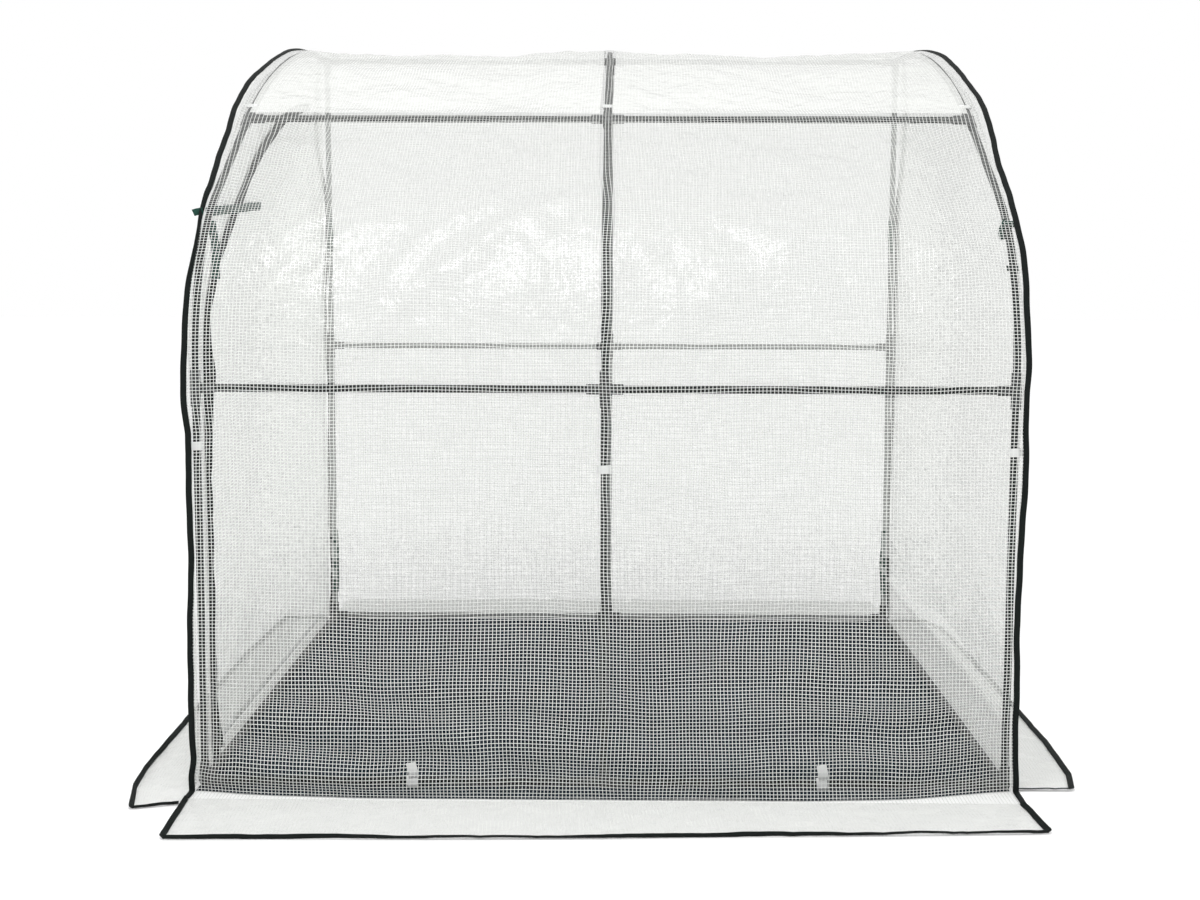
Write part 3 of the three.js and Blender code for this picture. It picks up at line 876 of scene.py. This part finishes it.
def ground_cloth():
    creases = Creases(91, 0.08, 0.6, 0.05, 12)
    us, vs = np.linspace(-1.012, 1.012, 203), np.linspace(FRONT - 0.098, BACK + 0.010, 205)
    x, y = (a.ravel() for a in np.meshgrid(us, vs))
    near_tube = np.minimum(near(x, -1.0, 1.0), near(y, FRONT, BACK))
    free = smooth((near_tube - 0.03) / 0.12)
    z = 0.0009 + np.minimum(np.abs(creases(x, y)) * free * 0.8, 0.010)
    front_edge = front_fold(x) + 0.008
    y = np.where(y < front_edge, front_edge, y)
    points = np.stack([x, y, z], 1)
    faces = grid_faces(len(us), len(vs))
    used, faces = points_used(faces[face_areas(points, faces) > 5e-9])
    return mesh_object("ground_cloth", points[used], faces, [ground_weave], uv=points[used, :2])


declare(ground_cloth(), "house", ["ground_sheet"])

# Tapes and ribbons --------------------------------------------------------------------------------


def tape(name, line, across, width, thickness, material, body, start=-0.5):
    """A flat tape swept along a line. across is the direction of its width at each point, and start
    is where its width starts, as a share of it. None of it goes below the ground."""
    line, across = np.asarray(line, float), unit(np.asarray(across, float))
    along = unit(np.gradient(line, axis=0))
    across = unit(across - (across * along).sum(1, keepdims=True) * along)
    normal = np.cross(along, across)
    width = np.broadcast_to(np.asarray(width, float), len(line))[:, None]
    section = [(0, 0.45), (0.06, 1), (0.5, 1.15), (0.94, 1), (1, 0.45)]
    section += [(a, -b) for a, b in reversed(section)]
    n = len(section)
    rings = [line + (a + start) * width * across + b * thickness / 2 * normal for a, b in section]
    points = np.stack(rings, 1).reshape(-1, 3)
    points[:, 2] = np.maximum(points[:, 2], LOWEST_TAPE)
    travelled = np.concatenate([[0], np.cumsum(np.linalg.norm(np.diff(line, axis=0), axis=1))])
    uv = np.stack([np.concatenate([a * width for a, _ in section], 1).ravel(), np.repeat(travelled, n)], 1)
    faces = []
    for i in range(len(line) - 1):
        for j in range(n):
            k = (j + 1) % n
            faces.append([i * n + j, i * n + k, (i + 1) * n + k, (i + 1) * n + j])
    last = (len(line) - 1) * n
    faces = [*faces, list(range(n))[::-1], [last + j for j in range(n)]]
    piece = mesh_object(name, points, faces, [material], uv=uv)
    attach(piece, body)
    return piece


def edge_binding(side):
    """The bound seam between an end wall and the front, roof and back panels."""
    lead = FRONT_FOLD - float(front_fold(side * EDGE_X))
    s = np.linspace(lead, cover_path.length - 0.004, 940)
    x, y, z = place_cover(np.full(len(s), side * EDGE_X), s)
    _, _, out_y, out_z = cover_path(s)
    sway = 0.0030 * np.sin(9.4 * s + side) + 0.0010 * np.sin(23.0 * s + 2 * side) + 0.0004 * np.sin(61 * s)
    line = np.stack([x + side * (0.0035 + sway), y + 0.001 * out_y, z + 0.001 * out_z + 0.0012], 1)
    tilt = 0.22 + 0.2 * np.sin(7.1 * s + 1.3 * side)
    tilt += 0.9 * (side < 0) * bump_at(z, 1.42, 0.12) * (s < S_UPPER)
    across = np.stack([side * np.cos(tilt), out_y * np.sin(tilt), out_z * np.sin(tilt)], 1)
    name = "seam_binding_left" if side < 0 else "seam_binding_right"
    tape(name, line, across, BINDING_WIDTH, BINDING_THICKNESS, binding, "house")


def skirt_binding(side):
    """The bound outer edge and ends of a skirt."""
    skirt = skirts[side]
    (low, high), width = skirt["span"], skirt["width"]
    v = np.linspace(0.006, width, 40)
    u = np.linspace(low, high, 420)[1:-1]
    us = np.concatenate([np.full(40, low), u, np.full(40, high)])
    vs = np.concatenate([v, np.full(len(u), width), v[::-1]])
    x, y, z = skirt["place"](us, vs)
    line = np.stack([x, y, z + 0.0022 + 0.0016 * np.abs(np.sin(9 * us + 4 * vs))], 1)
    along = unit(np.gradient(line, axis=0)) * [1, 1, 0]
    out = np.stack([-along[:, 1], along[:, 0], np.zeros(len(line))], 1)
    out *= np.sign(((line - [np.mean(x), np.mean(y), 0]) * out).sum(1, keepdims=True))
    # It leans up from the ground, and less on the skirt that folds up against a wall.
    lean = (0.85 + 0.3 * np.sin(6 * us)) * (0.35 if side == "right" else 1.0)
    across = out * np.cos(lean)[:, None] + np.array([0, 0, 1.0]) * np.sin(lean)[:, None]
    name, body = f"skirt_binding_{side}", skirt["body"]
    tape(name, line, across, BINDING_WIDTH, BINDING_THICKNESS, binding, body, -0.4)


def door_hem():
    """The white tape that is stitched along the foot of the door."""
    y = np.linspace(FRONT + DOOR_INSET + 0.002, HINGE.y - 0.004, 260)
    z = np.full(len(y), DOOR_FOOT)
    line = np.stack([-END_X - end_height(-1, y, z) - 0.0012, y, z], 1)
    tape("door_hem", line, [(0, 0, 1)] * len(y), 0.022, 0.0016, strap_nap, "door", 0.0)


for side in (-1, 1):
    edge_binding(side)
for side in ("front", "left", "right"):
    skirt_binding(side)
door_hem()

# The zip ------------------------------------------------------------------------------------------

ZIP_TAPE_WIDTH = 0.0135
SEAM_ASIDE = 0.011  # from the zip's middle to the bound seam beside it
TOOTH_STEP, TOOTH_WIDTH, TOOTH_HEIGHT = 0.0028, 0.0017, 0.0016
TOOTH_ROOT, TOOTH_TIP = 0.0032, -0.0012  # how far from the zip's middle they are


def door_edge(inset, foot, reach):
    """Points on the left end wall at an inset from the rib, from a foot to the door's hinge."""
    path = Path(inset_line(inset, foot), 0.004)
    kept = path.points[:, 0] < HINGE.y - reach
    (y, z), (out_y, out_z) = path.points[kept].T, path.out[kept].T
    x = -(END_X + end_height(-1, y, z))
    out = np.stack([np.zeros(len(y)), out_y, out_z], 1)
    return np.stack([x, y, z], 1), out


def zip_side(name, body, away, phase):
    """One side of the zip: its tape, its teeth, and the bound seam that stands up inside the cover.
    away is 1 for the side that is further from the rib, and -1 for the other."""
    line, out = door_edge(ZIP_INSET + 0.0006 * away, DOOR_FOOT + 0.004, 0.004)
    line = line + [-0.0014, 0, 0]
    aside = -away * out
    tape(f"zip_tape_{name}", line, aside, ZIP_TAPE_WIDTH, 0.0011, zip_tape, body, 0.0)
    teeth(f"zip_teeth_{name}", line, aside, phase, body)
    foot = DOOR_FOOT + 0.004 if away > 0 else 0.006
    base, out = door_edge(ZIP_INSET + SEAM_ASIDE * away, foot, 0.01)
    z = base[:, 2]
    rise = 0.0135 + 0.010 * bump_at(z, 0.06, 0.07) + 0.008 * bump_at(z, 1.02, 0.09)
    rise += 0.0026 * np.sin(13 * z + 1.7 * away) + 0.0017 * np.sin(31 * z + away)
    rise += 0.001 * np.sin(57 * z)
    lean = 0.35 * np.sin(5.3 * z + 2.2 * base[:, 1] + 0.8 * away) + 0.25 * away
    across = np.array([1.0, 0, 0]) * np.cos(lean)[:, None] + out * np.sin(lean)[:, None]
    tape(f"zip_seam_{name}", base, across, rise, 0.0022, binding, body, 0.0)


def teeth(name, line, away, phase, body):
    """A row of zip teeth along a line. away points from the zip's middle to this row's tape."""
    travelled = np.concatenate([[0], np.cumsum(np.linalg.norm(np.diff(line, axis=0), axis=1))])
    at = np.arange(phase * TOOTH_STEP, travelled[-1], TOOTH_STEP)
    spot = np.stack([np.interp(at, travelled, line[:, k]) for k in range(3)], 1)
    away = unit(np.stack([np.interp(at, travelled, away[:, k]) for k in range(3)], 1))
    outward = np.array([-1.0, 0, 0])
    along = np.cross(away, outward)
    points = []
    for top in (0, 1):
        for a, b in ((-1, -1), (1, -1), (1, 1), (-1, 1)):
            reach = TOOTH_ROOT if a > 0 else TOOTH_TIP
            width = TOOTH_WIDTH / 2 * (0.6 if top else 1.0)
            rise = 0.0004 + TOOTH_HEIGHT * top
            points.append(spot + away * reach + along * b * width + outward * rise)
    points = np.stack(points, 1).reshape(-1, 3)
    box = np.array([[3, 2, 1, 0], [4, 5, 6, 7], [0, 1, 5, 4], [1, 2, 6, 5], [2, 3, 7, 6], [3, 0, 4, 7]])
    faces = (np.arange(len(at))[:, None, None] * 8 + box).reshape(-1, 4)
    piece = mesh_object(name, points, faces, [zip_plastic], uv=points[:, 1:])
    piece.data.shade_flat()
    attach(piece, body)


zip_side("wall", "house", -1, 0.0)
zip_side("door", "door", 1, 0.5)

# Straps and ribbons -------------------------------------------------------------------------------


def strap(name, centre, axis, outward, drop, width=STRAP_WIDTH):
    """A white strap sewn to the film that hooks round a tube. drop is how far its ends are apart."""
    centre, axis, outward = Vector(centre), Vector(axis).normalized(), Vector(outward).normalized()
    aside = axis.cross(outward)
    turn = np.radians(np.linspace(-72, -288, 28))
    radius = TUBE_RADIUS + STRAP_THICKNESS
    path = [(-0.017, 0.0123), (-0.0135, 0.0105)]
    path += [(radius * math.sin(t), radius * math.cos(t)) for t in turn]
    path += [(0.0135, 0.0105), (0.017, 0.0123), (0.006, 0.0126), (-0.006, 0.0126), (-0.017, 0.0123)]
    line = [centre + aside * a + outward * b + axis * drop * a for a, b in path]
    tape(name, line, [axis] * len(line), width, STRAP_THICKNESS, strap_nap, "house")


def ribbon(name, points, across, width):
    """A dark green tie ribbon through points, smoothed."""
    points = np.array(points, float)
    lengths = np.concatenate([[0], np.cumsum(np.linalg.norm(np.diff(points, axis=0), axis=1))])
    fine = np.linspace(0, lengths[-1], max(12, int(lengths[-1] / 0.004)))
    line = np.stack([np.interp(fine, lengths, points[:, k]) for k in range(3)], 1)
    for _ in range(6):
        line[1:-1] = (line[:-2] + 2 * line[1:-1] + line[2:]) / 4
    twist = 0.25 * np.sin(40 * fine + points[0, 2] * 9)
    across = unit(np.array(across, float))
    along = unit(np.gradient(line, axis=0))
    side = unit(np.cross(along, across))
    turned = across * np.cos(twist)[:, None] + side * np.sin(twist)[:, None]
    tape(name, line, turned, width, RIBBON_THICKNESS, ribbon_weave, "house")


roof_along = (0, math.sin(ROOF_TURN), math.cos(ROOF_TURN))
roof_out = (0, -math.cos(ROOF_TURN), math.sin(ROOF_TURN))
above_bar = upper + 0.068 * np.array(roof_along[1:])
for name, x, z in (("left", -BAY, 0.858), ("centre", 0.0, 0.804), ("right", BAY, 0.850)):
    strap(f"strap_leg_{name}", (x, FRONT, z), (0, 0, 1), (0, -1, 0), 0.05)
    strap(f"strap_roof_{name}", (x, *above_bar), roof_along, roof_out, -0.08)
for name, x in (("left", -0.478), ("right", 0.545)):
    strap(f"strap_ground_{name}", (x, FRONT, FOOT_HEIGHT), (1, 0, 0), (0, -1, 0), 0.1, 0.027)
    tab = [(0.004, -0.0135, 0.026), (0.002, -0.012, 0.042), (-0.003, -0.017, 0.066)]
    tab = [(x + a, FRONT + b, c) for a, b, c in tab]
    name, across = f"strap_ground_tab_{name}", [(1, 0, 0.1)] * 3
    tape(name, tab, across, 0.025, STRAP_THICKNESS, strap_nap, "house")

# Dark green ties hang where the ends meet the bow. Each has the direction of its width, the width,
# and the points that it goes through.
FLAT, HANGING = (0, 0.2, 1), (1, 0.3, 0)
ties = {
    "left_tab": (FLAT, 0.018, [(-1.012, -0.812, 1.432), (-1.022, -0.817, 1.431), (-1.033, -0.825, 1.427)]),
    "left_inner": ((0, 0.05, 1), 0.024, [
        (-1.010, -0.79, 1.430), (-0.994, -0.70, 1.437), (-0.990, -0.55, 1.444),
        (-0.993, -0.35, 1.456), (-1.002, -0.17, 1.463),
    ]),
    "left_tail": (HANGING, 0.021, [(-0.993, -0.806, 1.408), (-0.984, -0.80, 1.34), (-0.986, -0.80, 1.262)]),
    "right_tab": (FLAT, 0.017, [(0.986, -0.835, 1.412), (0.990, -0.83, 1.402), (1.018, -0.834, 1.404)]),
    "right_tail": (HANGING, 0.016, [(0.987, -0.835, 1.400), (0.982, -0.833, 1.385), (0.989, -0.835, 1.366)]),
    "right_low": (FLAT, 0.015, [(0.985, -0.90, 1.296), (0.994, -0.888, 1.293), (1.014, -0.895, 1.296)]),
}
for name, (across, width, points) in ties.items():
    ribbon(f"tie_{name}", points, across, width)

# Two more hang down each post at the back.
for side, name in ((-1, "left"), (1, "right")):
    high = [(side * 0.996, 0.962, 1.449), (side * 0.993, 0.958, 1.40), (side * 0.997, 0.960, 1.336)]
    ribbon(f"tie_back_{name}", high, (1, 0.2 * side, 0), 0.020)
    low = [(side * 0.995, 0.962, 0.335), (side * 0.990, 0.957, 0.22), (side * 0.995, 0.960, 0.104)]
    ribbon(f"tie_back_low_{name}", low, (1, 0.3 * side, 0), 0.021)

# Frame --------------------------------------------------------------------------------------------


def finish_node(node, material):
    """Gives a solid its material, and rounds its shading between sharp edges."""
    node.data.materials.clear()
    node.data.materials.append(material)
    for polygon in node.data.polygons:
        polygon.use_smooth = True
    weld = node.modifiers.new("weld", "WELD")
    weld.merge_threshold = 1e-5
    split = node.modifiers.new("edges", "EDGE_SPLIT")
    split.split_angle = math.radians(40)


# The film's haze fades the tubes at the back, so they get a paler copy of the paint: painted light that
# stands in for the haze's light over them.
for name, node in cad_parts.items():
    if name.startswith(("rib_", "bar_", "rail_")):
        finish_node(node, paint_with_painted_haze_light if "post" in name or "_back_" in name else paint)
    elif name.startswith("connector_"):
        finish_node(node, connector_plastic)
    elif name.startswith("zip_"):
        finish_node(node, zip_plastic)

low, high = cad_box
